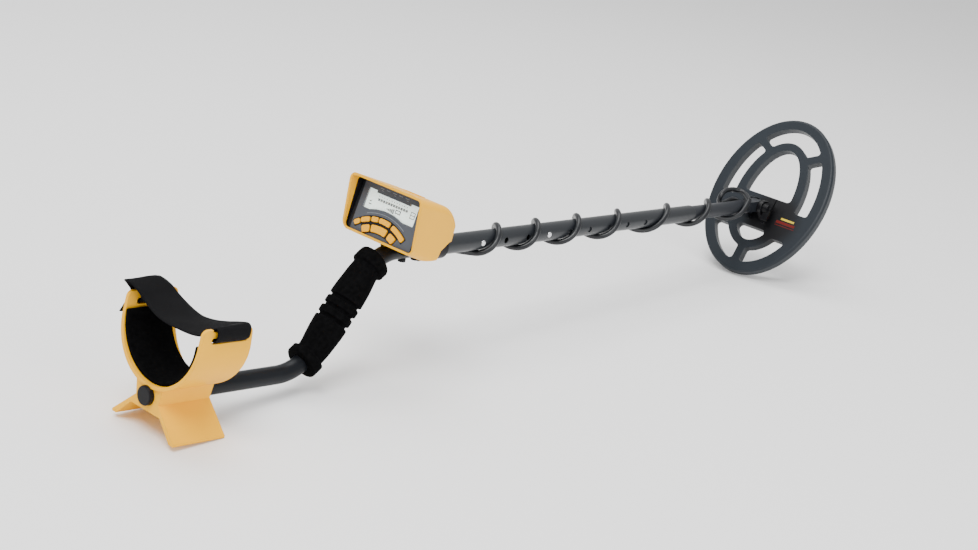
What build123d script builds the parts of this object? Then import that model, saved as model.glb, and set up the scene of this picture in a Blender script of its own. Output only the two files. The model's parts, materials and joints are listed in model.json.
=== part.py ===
from build123d import *
import os
from math import atan2, cos, degrees, radians, sin, tan

# A light hobby metal detector: an S-shaped rod with an arm cuff, a foam grip and a hooded control
# box, a middle stem and a telescoping lower stem locked by spring buttons, and an elliptical search
# coil on a hinge. Millimetres, standing on its two feet and the rear rim of the coil.
# +X runs forward to the coil, +Y to the left, +Z up; the origin is under the middle of its length.

# ---- Driving dimensions -------------------------------------------------------------------------
shaft_origin = (-540.6, 0, 142.26)    # point on the stems' axis above the rear of the feet
shaft_pitch = -2.81                  # the stems slope down towards the coil
tail_pitch = -2.04                   # the tail tube, measured from the stems
tail_drop = 106.1                    # tail axis below the stem axis at the rear

rod_radius = 9.0
tube_wall = 1.5
rod_bend = 55.0
rod_rear = -3.0
lower_corner_x = 181.7
upper_corner_x = 259.0
hole_pitch = 38.1                    # adjusting holes along the middle stem
hole_count = 9
rod_button_x = 412.0
stem_button_x = rod_button_x + 3 * hole_pitch
rod_front = rod_button_x + 15.0

middle_radius = 10.3
middle_bore = 9.1
middle_rear = 352.5
middle_front = 829.0
lower_rear = stem_button_x - 21.0
lower_front = 965.0

button_radius = 3.2
button_tip = 11.1
hinge_x = 995.6
hinge_height = 18.0                  # hinge axis above the top of the coil
hinge_long = -24.0                   # and behind the middle of the coil
coil_tilt = 62.0                     # the coil's long axis, measured up from the stems
coil_thick = 13.0
tongue_half = 6.5
ear_inner = 8.4
ear_outer = 13.4
bolt_radius = 3.0

cable_radius = 3.2
running_gap = 0.1


# ---- Frames -------------------------------------------------------------------------------------
def tilted(origin, pitch):
    """A frame turned up about Y: X forward, Y left, Z up."""
    turn = radians(pitch)
    return Plane(origin=origin, x_dir=(cos(turn), 0, sin(turn)), z_dir=(-sin(turn), 0, cos(turn)))


def level(base, height):
    """The frame's plan view at a height."""
    return Plane(origin=base.from_local_coords((0, 0, height)), x_dir=base.x_dir, z_dir=base.z_dir)


def side(base, left=0.0):
    """The frame's side view: X forward, Y up, facing right."""
    return Plane(origin=base.from_local_coords((0, left, 0)), x_dir=base.x_dir, z_dir=-base.y_dir)


def section(base, along):
    """The frame's cross-section: X left, Y up, facing forward."""
    return Plane(origin=base.from_local_coords((along, 0, 0)), x_dir=base.y_dir, z_dir=base.x_dir)


def finish(builder, node):
    """Name the piece and write its file."""
    builder.part.label = node
    export_step(builder.part, f"parts/{node}.step")


shaft = tilted(shaft_origin, shaft_pitch)
tail = tilted(shaft.from_local_coords((0, 0, -tail_drop)), shaft_pitch + tail_pitch)
hinge_point = shaft.from_local_coords((hinge_x, 0, 0))
coil_pitch = shaft_pitch + coil_tilt
hinge = tilted(hinge_point, coil_pitch)
coil = tilted(hinge.from_local_coords((-hinge_long, 0, -hinge_height)), coil_pitch)

os.makedirs("parts", exist_ok=True)

cuff_bolt_x = 40.0                   # along the tail
box_bolt_xs = (299.0, 318.0)         # along the stems

# ---- S-rod --------------------------------------------------------------------------------------
tail_slope = tan(radians(tail_pitch))
rod_rear_point = (rod_rear, -tail_drop + rod_rear * tail_slope)
lower_corner = (lower_corner_x, -tail_drop + lower_corner_x * tail_slope)
upper_corner = (upper_corner_x, 0)

with BuildPart() as s_rod:
    with BuildLine(side(shaft)) as rod_line:
        FilletPolyline(rod_rear_point, lower_corner, upper_corner, (rod_front, 0), radius=rod_bend)
    with BuildSketch(Plane(origin=rod_line.line @ 0, z_dir=rod_line.line % 0)):
        Circle(rod_radius)
        Circle(rod_radius - tube_wall, mode=Mode.SUBTRACT)
    sweep(path=rod_line.line)
    with BuildSketch(side(shaft)):
        with Locations((rod_button_x, 0)):
            Circle(button_radius + running_gap)
    extrude(amount=rod_radius + 1, both=True, mode=Mode.SUBTRACT)
    # Holes for the control box's two bolts and for the cuff's bolt.
    with BuildSketch(level(shaft, -rod_radius - 1)):
        for along in box_bolt_xs:
            with Locations((along, 0)):
                Circle(2.1)
    extrude(amount=2 * rod_radius + 2, mode=Mode.SUBTRACT)
    with BuildSketch(level(tail, -rod_radius - 1)):
        with Locations((cuff_bolt_x, 0)):
            Circle(bolt_radius + running_gap)
    extrude(amount=rod_radius, mode=Mode.SUBTRACT)
finish(s_rod, "s_rod")

with BuildPart() as rod_end_plug:
    with BuildSketch(section(tail, rod_rear - 0.01)):
        Circle(rod_radius - tube_wall - 0.05)
    extrude(amount=14)
    with BuildSketch(section(tail, rod_rear - 0.01)):
        Circle(rod_radius)
    extrude(amount=-1.8)
    fillet(rod_end_plug.faces().sort_by(Axis.X)[0].edges(), radius=1.2)
finish(rod_end_plug, "rod_end_plug")

# ---- Foam grip ----------------------------------------------------------------------------------
grip_core = 14.6
grip_flange = 17.75
grip_swell = 17.2
bend_share = 0.44                    # share of each bend that the foam covers
flange_share = 0.2
lower_bend, grip_run, upper_bend = rod_line.edges().sort_by(Axis.X)[1:4]
grip_pitch = degrees(atan2((grip_run % 0).Z, (grip_run % 0).X))
grip = tilted(grip_run @ 0.5, grip_pitch)
grip_path = Wire([lower_bend.trim(1 - bend_share, 1), grip_run, upper_bend.trim(0, bend_share)])
low_flange_path = Wire([lower_bend.trim(1 - bend_share, 1 - bend_share + flange_share)])
high_flange_path = Wire([upper_bend.trim(bend_share - flange_share, bend_share)])

with BuildPart() as foam_grip:
    for path, outer in ((grip_path, grip_core), (low_flange_path, grip_flange),
                        (high_flange_path, grip_flange)):
        with BuildSketch(Plane(origin=path @ 0, z_dir=path % 0)):
            Circle(outer)
        sweep(path=path)
    with BuildSketch(side(grip)):
        with BuildLine():
            Polyline((12.5, 10), (12.5, grip_swell))
            ThreePointArc((12.5, grip_swell), (24, 16.5), (36, grip_core))
            Polyline((36, grip_core), (36, 10), (12.5, 10))
        make_face()
        mirror(about=Plane.YZ)
        for rib in (-5.4, 5.4):
            with Locations((rib, 13.5)):
                Rectangle(7.6, 7)
    revolve(axis=Axis(grip.origin, grip.x_dir))
    with BuildSketch(Plane(origin=rod_line.line @ 0, z_dir=rod_line.line % 0)):
        Circle(rod_radius + 0.02)
    sweep(path=rod_line.line, mode=Mode.SUBTRACT)
finish(foam_grip, "foam_grip")

# ---- Arm cuff, its foam lining and its strap ----------------------------------------------------
cuff_length = 60.0
cuff_radius = 52.5
cuff_centre = 60.0
cuff_wall = 3.5
cuff_top = 78.0
bar_low = 70.5                       # the strap's bar on each wall, over its slot
bar_high = 75.5
slot_low = 65.0
slot_rear = 13.0
slot_front = 53.0
foot_half = 42.6
foot_drop = 31.5
sole_width = 5.8

with BuildPart() as cuff:
    # The U-shaped wall.
    with BuildSketch(section(tail, -3)):
        with Locations((0, cuff_centre)):
            Circle(cuff_radius)
        with Locations((0, (cuff_centre + cuff_top) / 2)):
            Rectangle(2 * cuff_radius, cuff_top - cuff_centre)
        with Locations((0, cuff_centre)):
            Circle(cuff_radius - cuff_wall, mode=Mode.SUBTRACT)
        with Locations((0, cuff_centre + 30)):
            Rectangle(2 * (cuff_radius - cuff_wall), 60, mode=Mode.SUBTRACT)
    extrude(amount=cuff_length + 6)
    with BuildSketch(side(tail)):
        with BuildLine():
            Polyline((53, 5), (-2, 5), (1.6, 57), (2.6, cuff_top - 6))
            RadiusArc((2.6, cuff_top - 6), (8.6, cuff_top), 6)
            Line((8.6, cuff_top), (52.5, cuff_top))
            RadiusArc((52.5, cuff_top), (58, cuff_top - 6), 6)
            ThreePointArc((58, cuff_top - 6), (59, 52), (53, 5))
        make_face()
    extrude(amount=cuff_radius + 1, both=True, mode=Mode.INTERSECT)
    # The boss round the tail tube and the two splayed legs.
    with BuildSketch(section(tail, 0)):
        with BuildLine():
            Polyline((0, 10.5), (18, 12.5), (15, -4.2), (foot_half, -29.5), (foot_half, -foot_drop),
                     (foot_half - sole_width, -foot_drop), (20, -14), (0, -14), (0, 10.5))
        make_face()
        mirror(about=Plane.YZ)
    extrude(amount=58.1)
    with BuildSketch(section(tail, -5)):
        Circle(rod_radius + 0.05)
    extrude(amount=80, mode=Mode.SUBTRACT)
    with BuildSketch(section(tail, -5)):
        with Locations((0, cuff_centre)):
            Circle(cuff_radius - cuff_wall)
    extrude(amount=80, mode=Mode.SUBTRACT)
    # A slot through each wall leaves a bar for the strap, a little lower than the horns.
    with BuildSketch(side(tail)):
        with Locations(((slot_rear + slot_front) / 2, (slot_low + bar_low) / 2)):
            RectangleRounded(slot_front - slot_rear, bar_low - slot_low, 2)
        with Locations(((slot_rear + slot_front) / 2, (bar_high + cuff_top + 2) / 2)):
            Rectangle(slot_front - slot_rear, cuff_top + 2 - bar_high)
    extrude(amount=cuff_radius + 5, both=True, mode=Mode.SUBTRACT)
    # The bolt hole through the boss and the tube.
    with BuildSketch(level(tail, -20)):
        with Locations((cuff_bolt_x, 0)):
            Circle(bolt_radius + running_gap)
    extrude(amount=40, mode=Mode.SUBTRACT)
finish(cuff, "cuff")

with BuildPart() as cuff_pad:
    with BuildSketch(section(tail, 2)):
        with Locations((0, cuff_centre)):
            Circle(cuff_radius - cuff_wall - 0.05)
            Circle(cuff_radius - cuff_wall - 4, mode=Mode.SUBTRACT)
        with Locations((0, slot_low - 2)):
            Rectangle(4 * cuff_radius, 80, align=(Align.CENTER, Align.MIN), mode=Mode.SUBTRACT)
    extrude(amount=50.5)
finish(cuff_pad, "cuff_pad")

strap_width = 38.0
strap_thick = 2.0
with BuildPart() as cuff_strap:
    with BuildSketch(section(tail, (slot_rear + slot_front - strap_width) / 2)):
        with BuildLine():
            FilletPolyline((56, 56), (55, 79.2), (47, 80.2), (24, 75), (0, 67.5), (-28, 65.5), (-46.8, 79),
                           (-54.8, 79), (-54.6, 67.8), (-46.9, 67.8), (-46.9, 73.5), radius=1.9)
        trace(line_width=strap_thick)
    extrude(amount=strap_width)
finish(cuff_strap, "cuff_strap")

with BuildPart() as cuff_bolt:
    with BuildSketch(level(tail, -17.5)):
        with Locations((cuff_bolt_x, 0)):
            Circle(5.5)
    extrude(amount=3.5)
    with BuildSketch(level(tail, -14)):
        with Locations((cuff_bolt_x, 0)):
            Circle(bolt_radius)
    extrude(amount=20.5)
finish(cuff_bolt, "cuff_bolt")

# ---- Middle stem --------------------------------------------------------------------------------
with BuildPart() as middle_stem:
    with BuildSketch(section(shaft, middle_rear)):
        Circle(middle_radius)
        Circle(middle_bore, mode=Mode.SUBTRACT)
    extrude(amount=middle_front - middle_rear)
    with BuildSketch(side(shaft)):
        for hole in range(hole_count):
            with Locations((rod_button_x + hole * hole_pitch, 0)):
                Circle(button_radius + running_gap)
    extrude(amount=middle_radius + 1, both=True, mode=Mode.SUBTRACT)
finish(middle_stem, "middle_stem")

# ---- Lower stem and the yoke in its end ---------------------------------------------------------
with BuildPart() as lower_stem:
    with BuildSketch(section(shaft, lower_rear)):
        Circle(rod_radius)
        Circle(rod_radius - tube_wall, mode=Mode.SUBTRACT)
    extrude(amount=lower_front - lower_rear)
    with BuildSketch(side(shaft)):
        with Locations((stem_button_x, 0)):
            Circle(button_radius + running_gap)
    extrude(amount=rod_radius + 1, both=True, mode=Mode.SUBTRACT)
finish(lower_stem, "lower_stem")

tongue_radius = 8.5
with BuildPart() as stem_yoke:
    with BuildSketch(section(shaft, lower_front - 32)):
        Circle(rod_radius - tube_wall - 0.05)
    extrude(amount=32)
    with BuildSketch(section(shaft, lower_front)):
        Circle(rod_radius)
    extrude(amount=4)
    with BuildSketch(side(shaft)):
        with Locations((hinge_x, 0)):
            Circle(tongue_radius)
        with Locations(((lower_front + 2 + hinge_x) / 2, 0)):
            Rectangle(hinge_x - lower_front - 2, 2 * tongue_radius - 3)
    extrude(amount=tongue_half, both=True)
    with BuildSketch(side(shaft)):
        with Locations((hinge_x, 0)):
            Circle(bolt_radius + 0.08)
    extrude(amount=20, both=True, mode=Mode.SUBTRACT)
finish(stem_yoke, "stem_yoke")

with BuildPart() as rubber_washers:
    for face, step in ((tongue_half + 0.02, 1), (-tongue_half - 0.02, -1)):
        with BuildSketch(side(shaft, face)):
            with Locations((hinge_x, 0)):
                Circle(tongue_radius)
                Circle(bolt_radius + 0.08, mode=Mode.SUBTRACT)
        extrude(amount=-step * (ear_inner - tongue_half - 0.06))
finish(rubber_washers, "rubber_washers")

# ---- Spring clips: two silver buttons on a folded leaf, in each inner tube ----------------------
button_root = 5.0
for clip, button_x in (("rear", rod_button_x), ("front", stem_button_x)):
    with BuildPart() as clip_leaf:
        with BuildSketch(level(shaft, 0)):
            with BuildLine():
                FilletPolyline((button_x + 4.5, 4.5), (button_x - 5, 4.5), (button_x - 15.8, 1.6),
                               (button_x - 15.8, -1.6), (button_x - 5, -4.5), (button_x + 4.5, -4.5),
                               radius=1.4)
            trace(line_width=0.8)
        extrude(amount=3.5, both=True)
    finish(clip_leaf, f"clip_leaf_{clip}")
    for name, step in (("left", 1), ("right", -1)):
        with BuildPart() as clip_button:
            with BuildSketch(side(shaft, step * button_root)):
                with Locations((button_x, 0)):
                    Circle(4.0)
            extrude(amount=-step * 1.0)
            with BuildSketch(side(shaft, step * button_root)):
                with Locations((button_x, 0)):
                    Circle(button_radius)
            extrude(amount=-step * (button_tip - button_root))
            tip = clip_button.faces().sort_by(Axis.Y)[-1 if step > 0 else 0]
            fillet(tip.edges(), radius=1.4)
        finish(clip_button, f"clip_button_{clip}_{name}")

# ---- Search coil --------------------------------------------------------------------------------
coil_long = 114.3
coil_wide = 82.5
ring_long = 100.0                    # inner edge of the outer ring
ring_wide = 66.5
core_long = 79.0                     # outer edge of the inner ring
core_wide = 47.5
eye_long = 68.0                      # inner edge of the inner ring
eye_wide = 35.0
cover_thick = 2.0


def coil_openings():
    """The slots between the rings and the two openings inside the inner ring."""
    with BuildSketch() as openings:
        Ellipse(ring_long, ring_wide)
        Ellipse(core_long, core_wide, mode=Mode.SUBTRACT)
        with Locations((-34, 0)):
            Rectangle(42, 2 * coil_wide, mode=Mode.SUBTRACT)
        with Locations((-ring_long + 10, 0)):
            Rectangle(40, 11, mode=Mode.SUBTRACT)
        for left in (1, -1):
            with Locations((67, 39 * left)):
                Rectangle(44, 10.5, rotation=60 * left, mode=Mode.SUBTRACT)
        fillet([corner for corner in openings.vertices() if abs(corner.Y) > 1], radius=4)
    with BuildSketch() as eye:
        Ellipse(eye_long, eye_wide)
        with Locations((-25, 0)):
            Rectangle(46, 2 * eye_wide, mode=Mode.SUBTRACT)
        fillet([corner for corner in eye.vertices() if abs(corner.Y) > 1], radius=5)
    return openings.sketch + eye.sketch


openings = coil_openings()
with BuildPart() as coil_shell:
    with BuildSketch(coil.offset(-coil_thick + cover_thick)):
        Ellipse(coil_long, coil_wide)
    extrude(amount=coil_thick - cover_thick)
    fillet(coil_shell.edges().group_by(Axis(coil.origin, coil.z_dir))[-1], radius=3.5)
    with BuildSketch(coil):
        add(openings)
    extrude(amount=-coil_thick, mode=Mode.SUBTRACT)
    # Channels for the windings, open below.
    with BuildSketch(coil.offset(-coil_thick + cover_thick)):
        Ellipse(coil_long - 3, coil_wide - 3)
        Ellipse(ring_long + 2.5, ring_wide + 2.5, mode=Mode.SUBTRACT)
        Ellipse(core_long - 2, core_wide - 2)
        Ellipse(eye_long + 2, eye_wide + 2, mode=Mode.SUBTRACT)
    extrude(amount=7.5, mode=Mode.SUBTRACT)
    # The two hinge ears.
    with BuildSketch(side(coil, -ear_outer)):
        with BuildLine():
            Line((hinge_long - 17, -3), (hinge_long - 9.2, hinge_height + 2.5))
            ThreePointArc((hinge_long - 9.2, hinge_height + 2.5), (hinge_long, hinge_height + 9.5),
                          (hinge_long + 9.2, hinge_height + 2.5))
            Polyline((hinge_long + 9.2, hinge_height + 2.5), (hinge_long + 17, -3), (hinge_long - 17, -3))
        make_face()
    extrude(amount=-2 * ear_outer)
    with BuildSketch(side(coil)):
        with Locations((hinge_long, hinge_height / 2 + 10)):
            Rectangle(60, hinge_height + 20 - 0.02)
    extrude(amount=ear_inner, both=True, mode=Mode.SUBTRACT)
    with BuildSketch(side(coil)):
        with Locations((hinge_long, hinge_height)):
            Circle(bolt_radius + 0.05)
    extrude(amount=30, both=True, mode=Mode.SUBTRACT)
finish(coil_shell, "coil_shell")

with BuildPart() as coil_cover:
    with BuildSketch(coil.offset(-coil_thick)):
        Ellipse(coil_long, coil_wide)
        add(openings, mode=Mode.SUBTRACT)
    extrude(amount=cover_thick)
finish(coil_cover, "coil_cover")

windings = (("transmit_winding", coil_long - 4, coil_wide - 4, ring_long + 3.5, ring_wide + 3.5),
            ("receive_winding", core_long - 2.6, core_wide - 2.6, eye_long + 2.6, eye_wide + 2.6))
for name, outer_long, outer_wide, inner_long, inner_wide in windings:
    with BuildPart() as winding:
        with BuildSketch(coil.offset(-coil_thick + cover_thick + 0.5)):
            Ellipse(outer_long, outer_wide)
            Ellipse(inner_long, inner_wide, mode=Mode.SUBTRACT)
        extrude(amount=5.5)
    finish(winding, name)

# The hinge bolt runs through both ears with its head on the left; the wing nut is on the right.
head_thick = 4.0
with BuildPart() as coil_bolt:
    with BuildSketch(side(hinge, ear_outer + head_thick + 0.02)):
        Circle(6.5)
    extrude(amount=head_thick)
    fillet(coil_bolt.faces().sort_by(Axis.Y)[-1].edges(), radius=1)
    with BuildSketch(side(hinge, ear_outer + head_thick)):
        Circle(bolt_radius)
    extrude(amount=2 * ear_outer + head_thick + 11)
finish(coil_bolt, "coil_bolt")

with BuildPart() as wing_nut:
    with BuildSketch(side(hinge, -ear_outer - 0.1)):
        Circle(7)
    extrude(amount=7.5, taper=6)
    with BuildSketch(side(hinge, -ear_outer - 2.5)):
        with BuildLine():
            Polyline((0, -2.2), (8, -2.2), (15, -1.4))
            ThreePointArc((15, -1.4), (16.4, 0), (15, 1.4))
            Polyline((15, 1.4), (8, 2.2), (0, 2.2), (0, -2.2))
        make_face()
        mirror(about=Plane.YZ)
    extrude(amount=9)
    with BuildSketch(side(hinge)):
        Circle(bolt_radius + 0.06)
    extrude(amount=40, mode=Mode.SUBTRACT)
finish(wing_nut, "wing_nut")

relief_long = -28.0
relief_left = 25.0
relief_height = 14.0
with BuildPart() as strain_relief:
    with BuildSketch(coil):
        with Locations((relief_long, relief_left)):
            Circle(7.5)
    extrude(amount=4)
    with BuildSketch(coil.offset(4)):
        with Locations((relief_long, relief_left)):
            Circle(5.8)
    extrude(amount=relief_height - 4, taper=5)
finish(strain_relief, "strain_relief")

# ---- Control box: the hood ----------------------------------------------------------------------
hood_rear = 256.0
hood_wall = 2.5
slope_x = 306.0                      # the flat top ends here and the nose curves down
slope_z = 55.8
top_slope = 0.274
floor_slope = 0.35
nose_half = 36.0
side_taper = 0.165
nose_x = 331.4


def hood_block(inset, rear, rounding):
    """The hood's outer form drawn in by inset, with its rear end at x = rear."""
    rear_half = nose_half + (nose_x - rear) * side_taper
    with BuildPart() as block:
        with BuildSketch(side(shaft)):
            with BuildLine():
                Polyline((slope_x, slope_z), (rear, slope_z + (slope_x - rear) * top_slope),
                         (rear, 2 + (284 - rear) * floor_slope), (284, 2), (303, 2), (308, 11), (321, 18),
                         (329.5, 19), (nose_x, 34))
                ThreePointArc((nose_x, 34), (322.5, 46.5), (slope_x, slope_z))
            make_face()
            offset(amount=-inset)
        extrude(amount=60, both=True)
        with BuildSketch(level(shaft, 0)):
            Polygon((rear, -rear_half), (nose_x, -nose_half), (nose_x, nose_half), (rear, rear_half),
                    align=None)
            offset(amount=-inset)
        extrude(amount=90, both=True, mode=Mode.INTERSECT)
        along_sides = [edge for edge in block.edges()
                       if abs((edge @ 0).Y) > 25 and (edge @ 0).Y * (edge @ 1).Y > 0
                       and shaft.to_local_coords(edge @ 0.5).X > rear + 2]
        top_sides = [edge for edge in along_sides if shaft.to_local_coords(edge @ 0.5).Z > 20]
        fillet(top_sides, radius=rounding)
        rear_sides = [edge for edge in block.edges()
                      if abs((edge @ 0).Y) > 25 and (edge @ 0).Y * (edge @ 1).Y > 0
                      and rear + 2 < shaft.to_local_coords(edge @ 0.5).X < 283
                      and shaft.to_local_coords(edge @ 0.5).Z < 15]
        fillet(rear_sides, radius=rounding)
    return block.part


hood_outer = hood_block(0.0, hood_rear, 8.0)
hood_inner = hood_block(hood_wall, hood_rear - 12, 4.0)
panel_room = hood_block(hood_wall + 0.15, hood_rear - 12, 4.0)
slope = tilted(shaft.from_local_coords((slope_x, 0, slope_z)), shaft_pitch - degrees(atan2(top_slope, 1)))
door_rear = -42.0
door_front = 1.0
door_half = 31.0
channel_half = 16.6
channels = ((hood_rear - 5, 31, 9.6), (281.5, 80, 13.6))   # start, length and height over the tube
channel_top = channels[1][2]
jack_left = -16.0
jack_height = 29.0
speaker_x = 292.0
speaker_z = 36.0

with BuildPart() as channel_wall:
    for start, length, height in channels:
        with BuildSketch(section(shaft, start - hood_wall)):
            with Locations((0, height + hood_wall)):
                Rectangle(2 * (channel_half + hood_wall), 40, align=(Align.CENTER, Align.MAX))
        extrude(amount=length)
    add(hood_outer, mode=Mode.INTERSECT)

with BuildPart() as housing_shell:
    add(hood_outer)
    add(hood_inner, mode=Mode.SUBTRACT)
    add(channel_wall.part)
    # The channel that the shell sits down over the tube with.
    for start, length, height in channels:
        with BuildSketch(section(shaft, start)):
            with Locations((0, height)):
                Rectangle(2 * channel_half, 40, align=(Align.CENTER, Align.MAX))
        extrude(amount=length, mode=Mode.SUBTRACT)
    # The battery door's recess runs out over the nose; the opening is under the door.
    with BuildSketch(slope):
        with Locations(((door_rear + 20) / 2, 0)):
            Rectangle(20 - door_rear, 2 * door_half + 0.4)
    extrude(amount=-1.6, mode=Mode.SUBTRACT)
    with BuildSketch(slope):
        with Locations(((door_rear + door_front) / 2 - 1, 0)):
            Rectangle(door_front - door_rear - 9, 2 * door_half - 6)
    extrude(amount=-8, mode=Mode.SUBTRACT)
    # Headphone jack hole in the nose, speaker slots in the left side.
    with BuildSketch(section(shaft, 320)):
        with Locations((jack_left, jack_height)):
            Circle(5.05)
    extrude(amount=20, mode=Mode.SUBTRACT)
    with BuildSketch(side(shaft, 30)):
        for slot in range(-2, 3):
            with Locations((speaker_x + slot * 5, speaker_z)):
                SlotOverall(24 - 3 * abs(slot), 2, rotation=90)
    extrude(amount=-30, mode=Mode.SUBTRACT)
finish(housing_shell, "housing_shell")

with BuildPart() as battery_door:
    with BuildSketch(slope):
        with Locations(((door_rear + door_front) / 2 + 0.1, 0)):
            Rectangle(door_front - door_rear - 0.2, 2 * door_half)
    extrude(amount=-1.55)
    with BuildSketch(slope):
        with GridLocations(3, 0, 3, 1):
            with Locations((-8, 0)):
                Rectangle(1.2, 24)
    extrude(amount=0.7)
finish(battery_door, "battery_door")

# ---- Control box: the front panel, display and keys ---------------------------------------------
panel_lean = 14.0
panel_x = 259.5
panel_z = 12.0
panel_thick = 2.0
lean = radians(panel_lean)
panel_frame = Plane(origin=shaft.from_local_coords((panel_x, 0, panel_z)), x_dir=-shaft.y_dir,
                    z_dir=shaft.z_dir * sin(lean) - shaft.x_dir * cos(lean))
keypad = (-3.0, -35.0)               # centre that both arcs of keys are struck from
upper_arc = (51.6, 56.8)
lower_arc = (41.4, 48.8)
keys = (("key_power", upper_arc, 120.4, 128.2), ("key_mode", upper_arc, 107.2, 118.8),
        ("key_sense_down", upper_arc, 95.8, 104.8), ("key_sense_up", upper_arc, 78.6, 94.2),
        ("key_depth", upper_arc, 54.4, 75.6), ("key_pinpoint", lower_arc, 106.6, 118.6),
        ("key_discriminate", lower_arc, 78.0, 103.6), ("key_accept", lower_arc, 62.0, 74.0))
display_half = 33.6
display_low = 25.5
display_high = 45.5


def key_outline(arc, start, end, margin):
    """A piece of a ring between two angles, grown by margin."""
    inner, outer = arc
    with BuildSketch() as outline:
        Circle(outer)
        Circle(inner, mode=Mode.SUBTRACT)
        reach = 1.3 * outer
        Polygon((0, 0), (reach * cos(radians(start)), reach * sin(radians(start))),
                (reach * cos(radians(end)), reach * sin(radians(end))), align=None, mode=Mode.INTERSECT)
        fillet(outline.vertices(), radius=1.7)
        offset(amount=margin)
    return outline.sketch


def display_outline(margin):
    """The display window: stepped up at both ends, scooped above the keys."""
    with BuildSketch() as outline:
        with Locations((0, (display_low + display_high) / 2)):
            Rectangle(2 * display_half, display_high - display_low)
        with Locations((0, display_high)):
            Rectangle(45, 4.4, mode=Mode.SUBTRACT)
        with Locations(keypad):
            Circle(upper_arc[1] + 7.5, mode=Mode.SUBTRACT)
        offset(amount=margin)
    return outline.sketch


with BuildPart() as panel:
    add(panel_room)
    with BuildSketch(panel_frame):
        Rectangle(140, 200)
    extrude(amount=-panel_thick, mode=Mode.INTERSECT)
    with BuildSketch(panel_frame):
        for name, arc, start, end in keys:
            with Locations(keypad):
                add(key_outline(arc, start, end, 0.3))
        add(display_outline(0.1))
    extrude(amount=-panel_thick - 1, mode=Mode.SUBTRACT)
finish(panel, "panel")

for name, arc, start, end in keys:
    with BuildPart() as key:
        with BuildSketch(panel_frame.offset(-panel_thick - 0.1)):
            with Locations(keypad):
                add(key_outline(arc, start, end, 0.0))
        extrude(amount=panel_thick + 1.7)
        fillet(key.faces().sort_by(Axis(panel_frame.origin, panel_frame.z_dir))[-1].edges(), radius=0.6)
    finish(key, name)

with BuildPart() as display_window:
    with BuildSketch(panel_frame.offset(-1.4)):
        add(display_outline(0.0))
    extrude(amount=1.3)
finish(display_window, "display_window")

with BuildPart() as display_module:
    with BuildSketch(panel_frame.offset(-7.5)):
        with Locations((0, (display_low + display_high) / 2 + 1)):
            Rectangle(2 * display_half + 6, display_high - display_low + 4)
    extrude(amount=5.2)
finish(display_module, "display_module")

with BuildPart() as key_domes:
    with BuildSketch(panel_frame.offset(-7.5)):
        with Locations((keypad[0], 12.5)):
            Rectangle(72, 19)
    extrude(amount=2.0)
    with BuildSketch(panel_frame.offset(-5.5)):
        for name, arc, start, end in keys:
            middle = radians((start + end) / 2)
            reach = (arc[0] + arc[1]) / 2
            with Locations((keypad[0] + reach * cos(middle), keypad[1] + reach * sin(middle))):
                Circle(1.6)
    extrude(amount=2.3)
finish(key_domes, "key_domes")

with BuildPart() as main_board:
    with BuildSketch(panel_frame.offset(-9.2)):
        with Locations((0, 27)):
            Rectangle(78, 44)
    extrude(amount=1.6)
    with BuildSketch(panel_frame.offset(-9.2)):
        with Locations((-18, 36), (12, 36), (24, 18)):
            Rectangle(10, 10)
    extrude(amount=-1.6)
finish(main_board, "main_board")

# ---- Control box: batteries, speaker, jack and the socket for the coil --------------------------
cell_radius = 7.1
cell_length = 50.0
cell_x = 289.0
cell_z = 24.6
cell_step = 14.6
cell_places = [(cell_x, cell_z), (cell_x + cell_step, cell_z), (cell_x, cell_z + cell_step),
               (cell_x + cell_step, cell_z + cell_step)]
with BuildPart() as battery_tray:
    with BuildSketch(level(shaft, 16.3)):
        with Locations((cell_x + cell_step / 2, 0)):
            Rectangle(2 * cell_step + 3, cell_length + 8)
    extrude(amount=26)
    with BuildSketch(level(shaft, 17.3)):
        with Locations((cell_x + cell_step / 2, 0)):
            Rectangle(2 * cell_step + 0.6, cell_length + 5)
    extrude(amount=30, mode=Mode.SUBTRACT)
finish(battery_tray, "battery_tray")

with BuildPart() as batteries:
    with BuildSketch(side(shaft, cell_length / 2)):
        for place in cell_places:
            with Locations(place):
                Circle(cell_radius)
    extrude(amount=cell_length - 1)
    with BuildSketch(side(shaft, -cell_length / 2 + 1)):
        for place in cell_places:
            with Locations(place):
                Circle(2.7)
    extrude(amount=1)
finish(batteries, "batteries")

with BuildPart() as battery_contacts:
    for face, step in ((cell_length / 2 + 0.4, -1), (-cell_length / 2 - 0.4, 1)):
        with BuildSketch(side(shaft, face)):
            for place in cell_places:
                with Locations(place):
                    Rectangle(9, 9)
        extrude(amount=step * 0.6)
finish(battery_contacts, "battery_contacts")

with BuildPart() as speaker:
    with BuildSketch(side(shaft, 37)):
        with Locations((speaker_x, speaker_z)):
            Circle(15)
    extrude(amount=2.5)
    with BuildSketch(side(shaft, 34.5)):
        with Locations((speaker_x, speaker_z)):
            Circle(8)
    extrude(amount=4)
finish(speaker, "speaker")

jack_bore = 3.2
with BuildPart() as headphone_jack:
    with BuildSketch(section(shaft, 317)):
        with Locations((jack_left, jack_height)):
            Circle(5.0)
    extrude(amount=14.6)
    with BuildSketch(section(shaft, 331.6)):
        with Locations((jack_left, jack_height)):
            Circle(6.4)
    extrude(amount=1.8)
    with BuildSketch(section(shaft, 318)):
        with Locations((jack_left, jack_height)):
            Circle(jack_bore)
    extrude(amount=20, mode=Mode.SUBTRACT)
finish(headphone_jack, "headphone_jack")

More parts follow.
